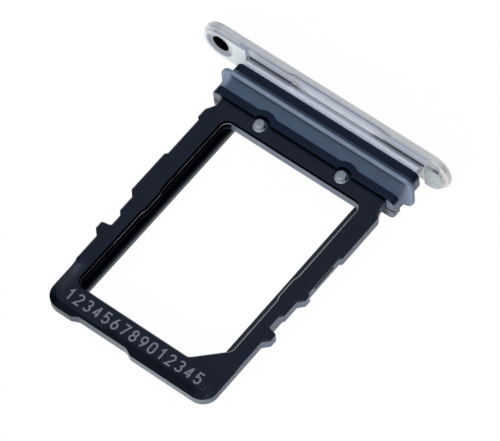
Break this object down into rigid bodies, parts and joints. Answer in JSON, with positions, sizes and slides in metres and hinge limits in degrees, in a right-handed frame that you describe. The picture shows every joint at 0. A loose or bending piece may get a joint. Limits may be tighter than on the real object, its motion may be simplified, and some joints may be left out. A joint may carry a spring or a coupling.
{
  "type": "sim card tray",
  "caption": "Thin dark card frame with a stepped outline, pinned to a neck with a rubber seal and a pill-shaped aluminium end cap that has an eject-pin hole.",
  "frame": {"origin": "middle of the overall length and of the cap's length, at the cap's lowest edge", "axes": "+X along the end cap, +Y from the tray's tail to the end cap, +Z towards the open card side"},
  "size_m": [0.0162, 0.0186, 0.0024],
  "materials": {
    "cap_metal": "fine blasted and anodised silver, milled scoop and tongue brighter",
    "carrier_black": "satin black with a smooth moulded surface",
    "seal_rubber": "matt slate grey silicone rubber",
    "frame_metal": "satin blue-black coating over steel, bevels darker",
    "rivet_steel": "plain turned steel, slightly domed edge"
  },
  "bodies": {
    "root": {"end_cap": "cap_metal", "carrier": "carrier_black", "gasket": "seal_rubber", "tray_frame": "frame_metal", "rivets": "rivet_steel"}
  },
  "joints": []
}
